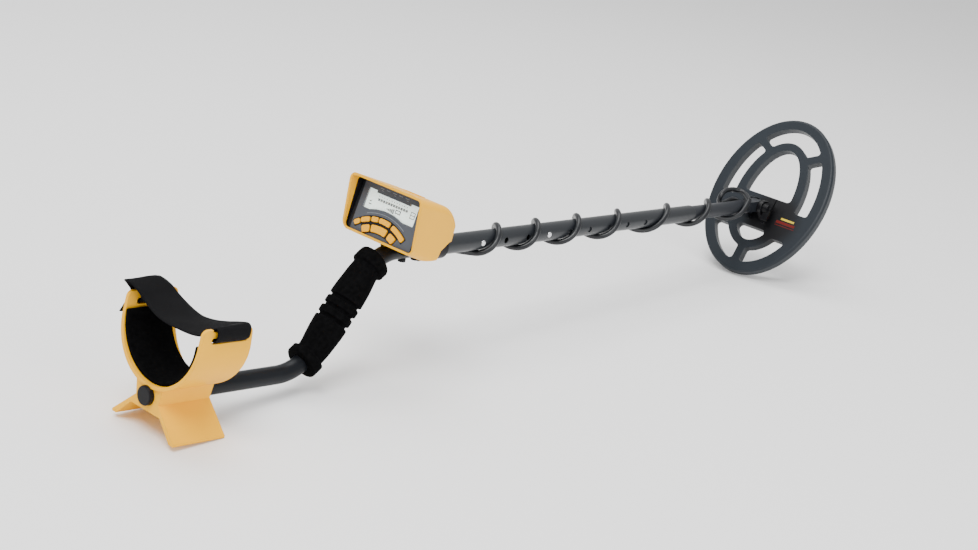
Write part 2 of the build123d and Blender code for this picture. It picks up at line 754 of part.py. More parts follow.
# The saddle fills the channel between the shell and the tube, with the coil's socket at its left.
# Ahead of the shell its collar hugs the tube.
collar_radius = 13.6
collar_front = 352.0
collar_left = 8.0
socket_x = 318.0
socket_left = 20.5
socket_height = -1.0
with BuildPart() as saddle:
    with BuildSketch(section(shaft, 282)):
        with Locations((0, channel_top - 0.1)):
            Rectangle(2 * channel_half - 0.2, 13.2, align=(Align.CENTER, Align.MAX))
    extrude(amount=socket_x - 282)
    with BuildSketch(section(shaft, 309)):
        with Locations((socket_left - 1, socket_height)):
            RectangleRounded(21, 18, 3)
    extrude(amount=socket_x - 309)
    with BuildSketch(section(shaft, socket_x)):
        Circle(collar_radius)
        with Locations((collar_left, 0)):
            Rectangle(collar_radius, 2 * collar_radius, align=(Align.MIN, Align.CENTER), mode=Mode.SUBTRACT)
    extrude(amount=collar_front - socket_x)
    with BuildSketch(section(shaft, 250)):
        Circle(rod_radius + 0.05)
    extrude(amount=110, mode=Mode.SUBTRACT)
    # Room for the head of the front bolt.
    with BuildSketch(level(shaft, -collar_radius - 1)):
        with Locations((box_bolt_xs[-1], 0)):
            Circle(4.5)
    extrude(amount=6, mode=Mode.SUBTRACT)
    with BuildSketch(level(shaft, 0)):
        for along in box_bolt_xs:
            with Locations((along, 0)):
                Circle(2.1)
    extrude(amount=14, mode=Mode.SUBTRACT)
finish(saddle, "saddle")

with BuildPart() as saddle_bolts:
    for along in box_bolt_xs:
        with BuildSketch(level(shaft, -rod_radius - 3.4)):
            with Locations((along, 0)):
                Circle(4.0)
        extrude(amount=3.4)
        with BuildSketch(level(shaft, -rod_radius)):
            with Locations((along, 0)):
                Circle(2.0)
        extrude(amount=rod_radius + 12)
finish(saddle_bolts, "saddle_bolts")

with BuildPart() as coil_socket:
    with BuildSketch(section(shaft, socket_x)):
        with Locations((socket_left, socket_height)):
            Circle(8)
    extrude(amount=2)
    with BuildSketch(section(shaft, socket_x + 2)):
        with Locations((socket_left, socket_height)):
            Circle(6)
            Circle(4.7, mode=Mode.SUBTRACT)
    extrude(amount=9)
finish(coil_socket, "coil_socket")

plug_front = 347.0
with BuildPart() as cable_plug:
    with BuildSketch(section(shaft, socket_x + 2.4)):
        with Locations((socket_left, socket_height)):
            Circle(4.6)
    extrude(amount=plug_front - socket_x - 2.4 - 6)
    with BuildSketch(section(shaft, plug_front - 6)):
        with Locations((socket_left, socket_height)):
            Circle(5.2)
    extrude(amount=6, taper=8)
finish(cable_plug, "cable_plug")

with BuildPart() as coupling_ring:
    with BuildSketch(section(shaft, socket_x + 2.6)):
        with Locations((socket_left, socket_height)):
            Circle(8.0)
            Circle(6.06, mode=Mode.SUBTRACT)
    extrude(amount=9.4)
    with BuildSketch(section(shaft, socket_x + 12)):
        with Locations((socket_left, socket_height)):
            Circle(8.0)
            Circle(4.68, mode=Mode.SUBTRACT)
    extrude(amount=4)
    with BuildSketch(section(shaft, socket_x + 2)):
        with Locations((socket_left, socket_height)):
            with PolarLocations(8.15, 20):
                Circle(0.6)
    extrude(amount=13, mode=Mode.SUBTRACT)
finish(coupling_ring, "coupling_ring")

# ---- Coil cable: wound round the stems, with a slack loop at the hinge --------------------------
# Each number is where a turn crosses the top of the stems; the turns open out towards the coil.
turn_tops = (443.0, 511.0, 587.0, 667.0, 774.0, 869.0, 968.0)
middle_wind = middle_radius + cable_radius + 1.1    # clears the spring buttons
lower_wind = rod_radius + cable_radius + 0.3
largest_bend = 26.0
corners = ((-1, 1), (1, 1), (1, -1), (-1, -1))


def winding_corners():
    """Corners of the cable's square helix: right-top, left-top, left-bottom, right-bottom."""
    points = []
    for turn, top in enumerate(turn_tops[:-1]):
        span = turn_tops[turn + 1] - top
        for quarter, (left, up) in enumerate(corners):
            along = top + span * (quarter / 4 - 0.125)
            reach = middle_wind if along < middle_front + 6 else lower_wind
            points.append((along, left * reach, up * reach))
    return points


def shaft_points(points):
    return [shaft.from_local_coords(point) for point in points]


relief_tip = coil.from_local_coords((relief_long, relief_left, relief_height))
relief_run = coil.from_local_coords((relief_long, relief_left, relief_height + 24))
turns = winding_corners()
start_run = [(plug_front, socket_left, socket_height), (372.0, socket_left, socket_height),
             (392.0, middle_wind + 1, -middle_wind - 1), (426.0, -middle_wind, -middle_wind)]
last_top = turn_tops[-1]
loop_run = [(last_top - 12, -lower_wind, lower_wind + 1), (last_top + 2, lower_wind + 4, lower_wind + 6),
            (last_top - 31, 22.0, 18.0), (last_top - 33, 23.5, -1.0)]
split_turn = next(index for index, point in enumerate(turns) if point[0] > middle_front + 6)


def midpoint(first, second):
    return tuple((a + b) / 2 for a, b in zip(first, second))


def bend_radii(route):
    """The largest bend that fits at each corner, up to the cable's easy bend."""
    radii = []
    for before, corner, after in zip(route, route[1:], route[2:]):
        arriving = Vector(*corner) - Vector(*before)
        leaving = Vector(*after) - Vector(*corner)
        room = 0.47 * min(arriving.length, leaving.length)
        radii.append(min(largest_bend, room / tan(radians(arriving.get_angle(leaving) / 2))))
    return radii


handover = midpoint(turns[split_turn - 1], turns[split_turn])
loop_start = midpoint(turns[-1], loop_run[0])
routes = (("cable_wound", shaft_points(start_run + turns[:split_turn] + [handover])),
          ("cable_lower", shaft_points([handover] + turns[split_turn:] + [loop_start])),
          ("cable_loop", shaft_points([loop_start] + loop_run) + [relief_run, relief_tip]))
for name, route in routes:
    with BuildPart() as cable:
        with BuildLine() as cable_line:
            FilletPolyline(*route, radius=bend_radii(route))
        with BuildSketch(Plane(origin=cable_line.line @ 0, z_dir=cable_line.line % 0)):
            Circle(cable_radius)
        sweep(path=cable_line.line)
    finish(cable, name)
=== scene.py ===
import json
from math import atan2, cos, hypot, pi, radians, sin, tan

import bpy
import numpy as np
from mathutils import Matrix, Vector


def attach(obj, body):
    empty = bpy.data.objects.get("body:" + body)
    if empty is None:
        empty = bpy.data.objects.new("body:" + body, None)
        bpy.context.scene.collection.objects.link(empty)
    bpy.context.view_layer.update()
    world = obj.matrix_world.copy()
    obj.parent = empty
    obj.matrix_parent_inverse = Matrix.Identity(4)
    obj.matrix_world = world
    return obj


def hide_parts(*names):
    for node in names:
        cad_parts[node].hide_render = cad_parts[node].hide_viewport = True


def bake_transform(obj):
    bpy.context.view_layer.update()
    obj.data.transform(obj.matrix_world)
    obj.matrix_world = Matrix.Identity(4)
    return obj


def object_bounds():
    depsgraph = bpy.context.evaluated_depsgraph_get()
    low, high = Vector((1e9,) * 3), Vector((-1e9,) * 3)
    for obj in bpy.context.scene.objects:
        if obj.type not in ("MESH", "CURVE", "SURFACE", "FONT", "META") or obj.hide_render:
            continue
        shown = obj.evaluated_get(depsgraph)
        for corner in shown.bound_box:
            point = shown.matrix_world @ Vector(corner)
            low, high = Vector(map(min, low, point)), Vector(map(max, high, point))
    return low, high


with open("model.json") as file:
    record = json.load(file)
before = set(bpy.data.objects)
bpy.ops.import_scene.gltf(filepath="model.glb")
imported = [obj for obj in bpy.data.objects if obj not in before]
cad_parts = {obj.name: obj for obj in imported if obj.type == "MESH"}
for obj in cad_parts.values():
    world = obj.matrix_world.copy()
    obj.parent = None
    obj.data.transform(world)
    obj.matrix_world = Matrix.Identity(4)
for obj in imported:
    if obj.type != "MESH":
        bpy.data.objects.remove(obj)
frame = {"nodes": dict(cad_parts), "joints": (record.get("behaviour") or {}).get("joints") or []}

cad_low, cad_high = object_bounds()
MM = 0.001    # the object's own frames are in millimetres

# Places and turns of the object's parts, in the stems' frame.
hinge_ahead = 995.6
tail_drop = 106.1
tail_turn = radians(-2.04)
panel_ahead, panel_height = 259.5, 12
panel_lean = radians(14)
keypad_u, keypad_v = -3, -35          # the middle of the keys' arcs, on the panel
coil_slope = radians(62)
coil_past_hinge, hinge_over_coil = 24, 18
rod_radius = 9.05                     # just clear of the S-rod's tube
cable_radius = 3.2 * MM

# ---- The object's own frames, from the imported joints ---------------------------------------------
joints = {joint["name"]: joint for joint in frame["joints"]}
shaft_dir = Vector(joints["stem_extend"]["axis"]).normalized()
hinge_point = Vector(joints["coil_tilt"]["pos_m"])
left = Vector((0, 1, 0))
shaft_up = shaft_dir.cross(left).normalized()
shaft_origin = hinge_point - shaft_dir * hinge_ahead * MM
tail_dir = shaft_dir * cos(tail_turn) + shaft_up * sin(tail_turn)
tail_up = shaft_up * cos(tail_turn) - shaft_dir * sin(tail_turn)
tail_origin = shaft_origin - shaft_up * tail_drop * MM


def at(x, y, z):
    """A point in the stems' frame, given in millimetres."""
    return shaft_origin + (shaft_dir * x + left * y + shaft_up * z) * MM


def on_tail(x, y, z):
    """A point in the tail's frame, given in millimetres."""
    return tail_origin + (tail_dir * x + left * y + tail_up * z) * MM


panel_right = -left
panel_out = shaft_up * sin(panel_lean) - shaft_dir * cos(panel_lean)
panel_up = panel_out.cross(panel_right).normalized()


def panel_at(u, v, out):
    """A point on the key panel, given in millimetres."""
    return at(panel_ahead, 0, panel_height) + (panel_right * u + panel_up * v + panel_out * out) * MM


coil_long = shaft_dir * cos(coil_slope) + shaft_up * sin(coil_slope)
coil_out = coil_long.cross(left).normalized()
coil_origin = hinge_point + (coil_long * coil_past_hinge - coil_out * hinge_over_coil) * MM


def on_coil(along, across, out):
    """A point over the coil's top face, given in millimetres."""
    return coil_origin + (coil_long * along + left * across + coil_out * out) * MM


# ---- Camera ---------------------------------------------------------------------------------------
def make_camera(location, right, forward, lens):
    """The scene's camera, with its picture's right and forward directions."""
    data = bpy.data.cameras.new("camera")
    data.lens = lens
    data.sensor_width = 36
    camera = bpy.data.objects.new("camera", data)
    bpy.context.collection.objects.link(camera)
    forward = Vector(forward).normalized()
    right = (Vector(right) - forward * Vector(right).dot(forward)).normalized()
    turn = Matrix((right, right.cross(forward), -forward)).transposed()
    camera.matrix_world = Matrix.Translation(Vector(location)) @ turn.to_4x4()
    bpy.context.scene.camera = camera


make_camera(location=(-1.34785, -0.95653, 0.60740), right=(0.64223, -0.74871, 0.16421),
            forward=(0.75286, 0.57590, -0.31865), lens=56.97)


# ---- Materials -----------------------------------------------------------------------------------
def material(name):
    """A fresh node material; returns it with its nodes, links and shader."""
    made = bpy.data.materials.new(name)
    made.use_nodes = True
    nodes, links = made.node_tree.nodes, made.node_tree.links
    return made, nodes, links, nodes["Principled BSDF"]


def add_node(nodes, kind, **values):
    """A node with its inputs or properties set by name."""
    node = nodes.new(kind)
    for key, value in values.items():
        if key in node.inputs:
            node.inputs[key].default_value = value
        else:
            setattr(node, key, value)
    return node


def ramp(nodes, links, source, low, high, first, second):
    """A colour ramp over a 0..1 value, from one colour at low to another at high."""
    node = nodes.new("ShaderNodeValToRGB")
    node.color_ramp.elements[0].position = low
    node.color_ramp.elements[1].position = high
    node.color_ramp.elements[0].color = (*first, 1)
    node.color_ramp.elements[1].color = (*second, 1)
    links.new(source, node.inputs["Fac"])
    return node.outputs["Color"]


def shade(colour, share):
    """A colour made darker or lighter by a share."""
    return tuple(channel * share for channel in colour)


def moulded(name, colour, roughness, grain=900.0, depth=0.08, change=0.06, shine=0.25, metallic=0.0,
            edge_radius=0.0006):
    """Moulded or coated surface: slow colour change, fine bump grain, uneven gloss, softened edges."""
    made, nodes, links, shader = material(name)
    place = nodes.new("ShaderNodeTexCoord").outputs["Object"]
    slow = add_node(nodes, "ShaderNodeTexNoise", Scale=9.0, Detail=4.0)
    fine = add_node(nodes, "ShaderNodeTexNoise", Scale=grain, Detail=3.0)
    links.new(place, slow.inputs["Vector"])
    links.new(place, fine.inputs["Vector"])
    colours = ramp(nodes, links, slow.outputs["Fac"], 0.3, 0.7,
                   shade(colour, 1 - change), shade(colour, 1 + change))
    links.new(colours, shader.inputs["Base Color"])
    gloss = add_node(nodes, "ShaderNodeMapRange")
    gloss.inputs["To Min"].default_value = max(0.02, roughness - 0.06)
    gloss.inputs["To Max"].default_value = roughness + 0.08
    links.new(fine.outputs["Fac"], gloss.inputs["Value"])
    links.new(gloss.outputs["Result"], shader.inputs["Roughness"])
    edge = add_node(nodes, "ShaderNodeBevel", samples=4)
    edge.inputs["Radius"].default_value = edge_radius
    bump = add_node(nodes, "ShaderNodeBump", Strength=depth, Distance=0.0002)
    links.new(fine.outputs["Fac"], bump.inputs["Height"])
    links.new(edge.outputs["Normal"], bump.inputs["Normal"])
    links.new(bump.outputs["Normal"], shader.inputs["Normal"])
    shader.inputs["Specular IOR Level"].default_value = shine
    shader.inputs["Metallic"].default_value = metallic
    return made


def foam(name, colour):
    """Closed-cell foam rubber: pits of two sizes and a dull dusty sheen."""
    made, nodes, links, shader = material(name)
    place = nodes.new("ShaderNodeTexCoord").outputs["Object"]
    cells = add_node(nodes, "ShaderNodeTexVoronoi", Scale=1100.0)
    skin = add_node(nodes, "ShaderNodeTexNoise", Scale=260.0, Detail=5.0)
    for texture in (cells, skin):
        links.new(place, texture.inputs["Vector"])
    colours = ramp(nodes, links, skin.outputs["Fac"], 0.35, 0.7, shade(colour, 0.75), shade(colour, 1.5))
    links.new(colours, shader.inputs["Base Color"])
    small = add_node(nodes, "ShaderNodeBump", Strength=0.35, Distance=0.0003)
    large = add_node(nodes, "ShaderNodeBump", Strength=0.25, Distance=0.0006)
    links.new(cells.outputs["Distance"], small.inputs["Height"])
    links.new(skin.outputs["Fac"], large.inputs["Height"])
    links.new(small.outputs["Normal"], large.inputs["Normal"])
    links.new(large.outputs["Normal"], shader.inputs["Normal"])
    shader.inputs["Roughness"].default_value = 0.92
    shader.inputs["Specular IOR Level"].default_value = 0.02
    return made


def metal(name, colour, roughness):
    """Bare metal with fine scratches along it."""
    made, nodes, links, shader = material(name)
    place = nodes.new("ShaderNodeTexCoord").outputs["Object"]
    stretch = add_node(nodes, "ShaderNodeMapping", Scale=(60.0, 900.0, 900.0))
    scratches = add_node(nodes, "ShaderNodeTexNoise", Scale=6.0, Detail=4.0)
    links.new(place, stretch.inputs["Vector"])
    links.new(stretch.outputs["Vector"], scratches.inputs["Vector"])
    bump = add_node(nodes, "ShaderNodeBump", Strength=0.06, Distance=0.0001)
    links.new(scratches.outputs["Fac"], bump.inputs["Height"])
    links.new(bump.outputs["Normal"], shader.inputs["Normal"])
    shader.inputs["Base Color"].default_value = (*colour, 1)
    shader.inputs["Metallic"].default_value = 1.0
    shader.inputs["Roughness"].default_value = roughness
    return made


abs_yellow = (0.90, 0.44, 0.006)
# Black of the rubber parts, also used as painted shade inside the hood and round the keys.
rubber_black_and_shade = (0.004, 0.004, 0.005)
yellow = moulded("yellow_abs", abs_yellow, 0.38, grain=1400, depth=0.10, change=0.05, shine=0.12)
key_yellow = moulded("key_yellow", (0.90, 0.42, 0.006), 0.42, grain=1600, depth=0.05, change=0.04,
                     shine=0.12)
# The S-rod's coat is a darker copy of the tube coat: painted shade, as the rod lies low, in shade.
rod_black_painted_shade = moulded("rod_coat", (0.006, 0.007, 0.009), 0.32, grain=2200, depth=0.06, change=0.15,
                    shine=0.14)
tube_black = moulded("tube_coat", (0.012, 0.014, 0.017), 0.30, grain=2200, depth=0.06, change=0.15,
                     shine=0.35)
stem_black = moulded("stem_plastic", (0.012, 0.014, 0.018), 0.36, grain=1500, change=0.15, shine=0.35)
black_plastic = moulded("black_plastic", (0.003, 0.003, 0.004), 0.40, grain=1200, depth=0.12, change=0.2,
                        shine=0.15)
rubber = moulded("rubber", rubber_black_and_shade, 0.6, grain=700, depth=0.15, change=0.2, shine=0.15)
cable_pvc = moulded("cable_pvc", (0.005, 0.006, 0.008), 0.30, grain=1500, depth=0.06, change=0.2, shine=0.4)
board_green = moulded("board_green", (0.02, 0.14, 0.06), 0.4)
cell_wrap = moulded("cell_wrap", (0.03, 0.05, 0.16), 0.25)
enamel = moulded("enamelled_wire", (0.30, 0.09, 0.03), 0.3, grain=300, depth=0.5, metallic=0.6)
foam_black = foam("foam_black", (0.0026, 0.0026, 0.0028))
bright_steel = metal("bright_steel", (0.78, 0.79, 0.81), 0.16)
spring_steel = metal("spring_steel", (0.55, 0.56, 0.58), 0.30)


def measure(nodes, links, place, origin, axis):
    """Distance in metres from the origin along an axis, for each shaded point."""
    away = add_node(nodes, "ShaderNodeVectorMath", operation="SUBTRACT")
    away.inputs[1].default_value = origin
    along = add_node(nodes, "ShaderNodeVectorMath", operation="DOT_PRODUCT")
    along.inputs[1].default_value = axis
    links.new(place, away.inputs[0])
    links.new(away.outputs["Vector"], along.inputs[0])
    return along.outputs["Value"]


def maths(nodes, links, operation, *values):
    """One maths node; each value is a socket or a number."""
    node = add_node(nodes, "ShaderNodeMath", operation=operation)
    for index, value in enumerate(values):
        if isinstance(value, (int, float)):
            node.inputs[index].default_value = value
        else:
            links.new(value, node.inputs[index])
    return node.outputs["Value"]


def within(nodes, links, value, low, high):
    """1 where the value lies between low and high, else 0."""
    return maths(nodes, links, "COMPARE", value, (low + high) / 2, (high - low) / 2)


def recolour(made, mask, colour):
    """Mixes another colour in where the mask is 1."""
    nodes, links = made.node_tree.nodes, made.node_tree.links
    shader = nodes["Principled BSDF"]
    before = shader.inputs["Base Color"].links[0].from_socket
    mix = add_node(nodes, "ShaderNodeMix", data_type="RGBA")
    links.new(mask, mix.inputs["Factor"])
    links.new(before, mix.inputs["A"])
    mix.inputs["B"].default_value = (*colour, 1)
    links.new(mix.outputs["Result"], shader.inputs["Base Color"])


def coil_material():
    """Slate moulding, with painted shade round the hinge ears and a painted highlight that lightens its edges."""
    made = moulded("coil_plastic", (0.012, 0.016, 0.021), 0.38, depth=0.12, change=0.12, edge_radius=0.0016)
    nodes, links = made.node_tree.nodes, made.node_tree.links
    place = nodes.new("ShaderNodeTexCoord").outputs["Object"]
    # Painted highlight: at the edges, where the softened normal turns away from the true one, the colour is mixed
    # lighter.
    soft = add_node(nodes, "ShaderNodeBevel", samples=6)
    soft.inputs["Radius"].default_value = 0.0014
    flat = nodes.new("ShaderNodeNewGeometry")
    same = add_node(nodes, "ShaderNodeVectorMath", operation="DOT_PRODUCT")
    links.new(soft.outputs["Normal"], same.inputs[0])
    links.new(flat.outputs["Normal"], same.inputs[1])
    edge_highlight = add_node(nodes, "ShaderNodeMapRange")
    edge_highlight.inputs["From Min"].default_value = 0.98
    edge_highlight.inputs["From Max"].default_value = 0.75
    links.new(same.outputs["Value"], edge_highlight.inputs["Value"])
    recolour(made, edge_highlight.outputs["Result"], (0.036, 0.043, 0.050))
    # Painted shade: the coil turns near black round the wing nut and the hinge ears.
    away = add_node(nodes, "ShaderNodeVectorMath", operation="DISTANCE")
    away.inputs[1].default_value = on_coil(-30, -22, 6)
    links.new(place, away.inputs[0])
    hinge_shade = add_node(nodes, "ShaderNodeMapRange", interpolation_type="SMOOTHSTEP")
    hinge_shade.inputs["From Min"].default_value = 0.048
    hinge_shade.inputs["From Max"].default_value = 0.026
    links.new(away.outputs["Value"], hinge_shade.inputs["Value"])
    recolour(made, hinge_shade.outputs["Result"], (0.003, 0.003, 0.004))
    return made


def hood_material():
    """Yellow moulding, with painted shade: black inside the hood's deep part next to the panel."""
    made = moulded("hood_abs", abs_yellow, 0.38, grain=1400, depth=0.10, change=0.05, shine=0.12)
    nodes, links = made.node_tree.nodes, made.node_tree.links
    place = nodes.new("ShaderNodeTexCoord").outputs["Object"]
    ahead = measure(nodes, links, place, shaft_origin, shaft_dir)
    height = measure(nodes, links, place, shaft_origin, shaft_up)
    sideways = maths(nodes, links, "ABSOLUTE", measure(nodes, links, place, shaft_origin, left))
    before_panel = measure(nodes, links, place, panel_at(0, 0, 0), panel_out)

    def below(limit, *terms):
        """1 where a weighted sum of distances is below the limit, in metres."""
        total = None
        for value, weight in terms:
            part = maths(nodes, links, "MULTIPLY", value, weight)
            total = part if total is None else maths(nodes, links, "ADD", total, part)
        return maths(nodes, links, "LESS_THAN", total, limit)

    past_rim = below(-0.2563, (ahead, -1), (height, 0.125))
    off_nose = below(0.001, (before_panel, -1))
    off_side = below(0.0884, (sideways, 1), (ahead, 0.1645))
    off_roof = below(0.1374, (height, 1), (ahead, 0.274))
    off_floor = below(-0.1037, (height, -1), (ahead, -0.35))
    off_roof_corner = below(0.2241, (sideways, 1), (height, 1), (ahead, 0.4385))
    off_floor_corner = below(-0.0169, (sideways, 1), (height, -1), (ahead, -0.1855))
    # Painted shade: within all these bounds, the hood's inner walls next to the panel are coloured black.
    hood_shade = past_rim
    for bound in (off_nose, off_side, off_roof, off_floor, off_roof_corner, off_floor_corner):
        hood_shade = maths(nodes, links, "MULTIPLY", hood_shade, bound)
    recolour(made, hood_shade, rubber_black_and_shade)
    return made


def panel_material():
    """Slate film, with painted shade: darker at its sides, by the hood's walls, and black behind the two arcs of
    keys, in the gaps between them.
    """
    made = moulded("panel_film", (0.072, 0.080, 0.094), 0.34, grain=1800, depth=0.04, change=0.05)
    nodes, links = made.node_tree.nodes, made.node_tree.links
    place = nodes.new("ShaderNodeTexCoord").outputs["Object"]
    keypad = panel_at(keypad_u, keypad_v, 0)
    across = measure(nodes, links, place, keypad, panel_right)
    upwards = measure(nodes, links, place, keypad, panel_up)
    squares = maths(nodes, links, "ADD", maths(nodes, links, "POWER", across, 2.0),
                    maths(nodes, links, "POWER", upwards, 2.0))
    reach = maths(nodes, links, "SQRT", squares)
    angle = maths(nodes, links, "ARCTAN2", upwards, across)
    # Painted shade round and between the keys: black under the two arcs of keys.
    outer = maths(nodes, links, "MULTIPLY", within(nodes, links, reach, 0.0505, 0.0579),
                  within(nodes, links, angle, radians(53.4), radians(129.2)))
    inner = maths(nodes, links, "MULTIPLY", within(nodes, links, reach, 0.0403, 0.0505),
                  within(nodes, links, angle, radians(60.8), radians(119.8)))
    recolour(made, maths(nodes, links, "ADD", outer, inner), rubber_black_and_shade)
    # Painted shade: the panel is darker at its sides, next to the hood's walls.
    off_middle = measure(nodes, links, place, panel_at(0, 0, 0), panel_right)
    both_sides = maths(nodes, links, "ABSOLUTE", off_middle)
    recolour(made, maths(nodes, links, "GREATER_THAN", both_sides, 0.0405), (0.010, 0.011, 0.013))
    return made


def display_material():
    """The display's pale green-grey glass, slightly cloudy, with a painted glow that brightens it."""
    made, nodes, links, shader = material("display_glass")
    place = nodes.new("ShaderNodeTexCoord").outputs["Object"]
    cloud = add_node(nodes, "ShaderNodeTexNoise", Scale=60.0, Detail=2.0)
    links.new(place, cloud.inputs["Vector"])
    colours = ramp(nodes, links, cloud.outputs["Fac"], 0.3, 0.7, (0.74, 0.84, 0.78), (0.84, 0.92, 0.87))
    links.new(colours, shader.inputs["Base Color"])
    shader.inputs["Roughness"].default_value = 0.25
    # Painted light: the display glows, though it has no lamp.
    shader.inputs["Emission Color"].default_value = (0.88, 1.0, 0.95, 1)
    shader.inputs["Emission Strength"].default_value = 0.9
    return made


def window_material():
    """Thin clear window over the display: mostly see-through with a gloss."""
    made, nodes, links, shader = material("clear_window")
    place = nodes.new("ShaderNodeTexCoord").outputs["Object"]
    smear = add_node(nodes, "ShaderNodeTexNoise", Scale=90.0, Detail=3.0)
    links.new(place, smear.inputs["Vector"])
    gloss = add_node(nodes, "ShaderNodeMapRange")
    gloss.inputs["To Min"].default_value = 0.05
    gloss.inputs["To Max"].default_value = 0.16
    links.new(smear.outputs["Fac"], gloss.inputs["Value"])
    links.new(gloss.outputs["Result"], shader.inputs["Roughness"])
    shader.inputs["Base Color"].default_value = (0.9, 0.95, 0.93, 1)
    shader.inputs["Alpha"].default_value = 0.12
    return made


coil_slate = coil_material()
hood_yellow = hood_material()
panel_slate = panel_material()
display_grey = display_material()
window_clear = window_material()

finishes = {
    yellow: ("cuff", "battery_door"),
    hood_yellow: ("housing_shell",),
    rod_black_painted_shade: ("s_rod",),
    tube_black: ("middle_stem",),
    stem_black: ("lower_stem", "stem_yoke"),
    coil_slate: ("coil_shell", "coil_cover"),
    panel_slate: ("panel",),
    black_plastic: ("rod_end_plug", "cuff_bolt", "battery_tray", "speaker", "headphone_jack", "saddle",
                    "saddle_bolts", "coil_bolt", "wing_nut"),
    rubber: ("rubber_washers", "key_domes", "cable_plug", "strain_relief"),
    board_green: ("main_board",),
    cell_wrap: ("batteries",),
    enamel: ("transmit_winding", "receive_winding"),
    bright_steel: ("coupling_ring", "coil_socket", "clip_button_rear_left", "clip_button_rear_right",
                   "clip_button_front_left", "clip_button_front_right"),
    spring_steel: ("clip_leaf_rear", "clip_leaf_front", "battery_contacts"),
    display_grey: ("display_module",),
    window_clear: ("display_window",),
    key_yellow: tuple(name for name in frame["nodes"] if name.startswith("key_") and name != "key_domes"),
}
for finish, names in finishes.items():
    for name in names:
        node = frame["nodes"][name]
        node.data.materials.clear()
        node.data.materials.append(finish)


# ---- Mesh helpers --------------------------------------------------------------------------------
def piece_from(name, verts, faces, finish, smooth=True):
    """A linked mesh object with one material."""
    mesh = bpy.data.meshes.new(name)
    mesh.from_pydata([tuple(vert) for vert in verts], [], faces)
    mesh.validate()
    if smooth:
        mesh.shade_smooth()
    mesh.materials.append(finish)
    made = bpy.data.objects.new(name, mesh)
    bpy.context.collection.objects.link(made)
    return made


def skin(name, rings, finish, smooth=True):
    """A closed piece over rings of equally many points, each ring closed; the ends are capped."""
    count = len(rings[0])
    faces = []
    for ring in range(len(rings) - 1):
        for side in range(count):
            a, b = ring * count + side, ring * count + (side + 1) % count
            faces.append((a, b, b + count, a + count))
    faces.append(tuple(range(count))[::-1])
    faces.append(tuple(range((len(rings) - 1) * count, len(rings) * count)))
    return piece_from(name, [point for ring in rings for point in ring], faces, finish, smooth)


# ---- Foam grip -----------------------------------------------------------------------------------
rod_bend = 55.0
lower_corner = (181.7, -tail_drop + 181.7 * tan(tail_turn))
upper_corner = (259.0, 0.0)
grip_slope = atan2(upper_corner[1] - lower_corner[1], upper_corner[0] - lower_corner[0])
lower_tangent = rod_bend * tan((grip_slope - tail_turn) / 2)
upper_tangent = rod_bend * tan(grip_slope / 2)
run_length = hypot(upper_corner[0] - lower_corner[0], upper_corner[1] - lower_corner[1])
half_run = (run_length - lower_tangent - upper_tangent) / 2
grip_mid = (lower_corner[0] + cos(grip_slope) * (lower_tangent + half_run),
            lower_corner[1] + sin(grip_slope) * (lower_tangent + half_run))
bend_share = 0.44                     # how much of each bend the grip covers
grip_low = -(half_run + bend_share * rod_bend * (grip_slope - tail_turn))
grip_high = half_run + bend_share * rod_bend * grip_slope
flange_length, flange_radius = 11.2, 17.75
middle_groove, groove_start, groove_end = 1.7, 9.2, 12.4
groove_radius, rib_radius = 14.5, 17.1
body_end_radius, body_swell = 14.6, 2.7
grip_step, edge_blur = 0.3, 0.45
grip_rounding = 2.0


def rod_station(s):
    """Centre and slope of the S-rod at a distance s from the middle of the grip."""
    past = abs(s) - half_run
    along = max(-half_run, min(half_run, s))
    x = grip_mid[0] + cos(grip_slope) * along
    z = grip_mid[1] + sin(grip_slope) * along
    if past <= 0:
        return x, z, grip_slope
    way = 1 if s > 0 else -1
    slope = grip_slope - past / rod_bend
    x += way * rod_bend * (sin(grip_slope) - sin(slope))
    z += way * rod_bend * (cos(slope) - cos(grip_slope))
    return x, z, slope


def grip_radius(s):
    """The grip's outline: end flanges, a swelling body and two ribs between three grooves."""
    end = min(s - grip_low, grip_high - s)
    out = abs(s)
    if end < flange_length:
        return flange_radius
    if out < middle_groove or groove_start < out < groove_end:
        return groove_radius
    if out <= groove_start:
        return rib_radius
    share = (out - groove_end) / (grip_high - groove_end - 14)
    return body_end_radius + body_swell * cos(min(1.0, share) * pi / 2) ** 1.2


def make_grip():
    """The foam grip round the S-rod, with soft edges and slight dents."""
    stations = np.arange(grip_low, grip_high + 0.01, grip_step)
    kernel = np.exp(-0.5 * (np.arange(-6, 7) * grip_step / edge_blur) ** 2)
    outline = np.pad([grip_radius(s) for s in stations], 6, mode="edge")
    outline = np.convolve(outline, kernel / kernel.sum(), mode="valid")
    waves = np.random.default_rng(4).uniform(0, 2 * pi, 6)

    def ring(s, radius):
        x, z, slope = rod_station(s)
        points = []
        for side in range(96):
            angle = 2 * pi * side / 96
            dent = 0.10 * sin(3 * angle + waves[0] + s / 9) + 0.06 * sin(7 * angle + waves[1] + s / 4)
            reach = radius + dent if radius > 12 else radius
            points.append(at(x - sin(slope) * reach * cos(angle), reach * sin(angle),
                             z + cos(slope) * reach * cos(angle)))
        return points

    rings = [ring(grip_low, rod_radius)]
    for s, radius in zip(stations, outline):
        end = min(s - grip_low, grip_high - s)
        inset = max(0, grip_rounding - end)
        drop = grip_rounding - (grip_rounding ** 2 - inset ** 2) ** 0.5
        rings.append(ring(s, radius - drop))
    rings.append(ring(grip_high, rod_radius))
    return skin("grip_foam", rings, foam_black)


grip_foam = make_grip()
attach(grip_foam, "handle")
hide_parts("foam_grip")


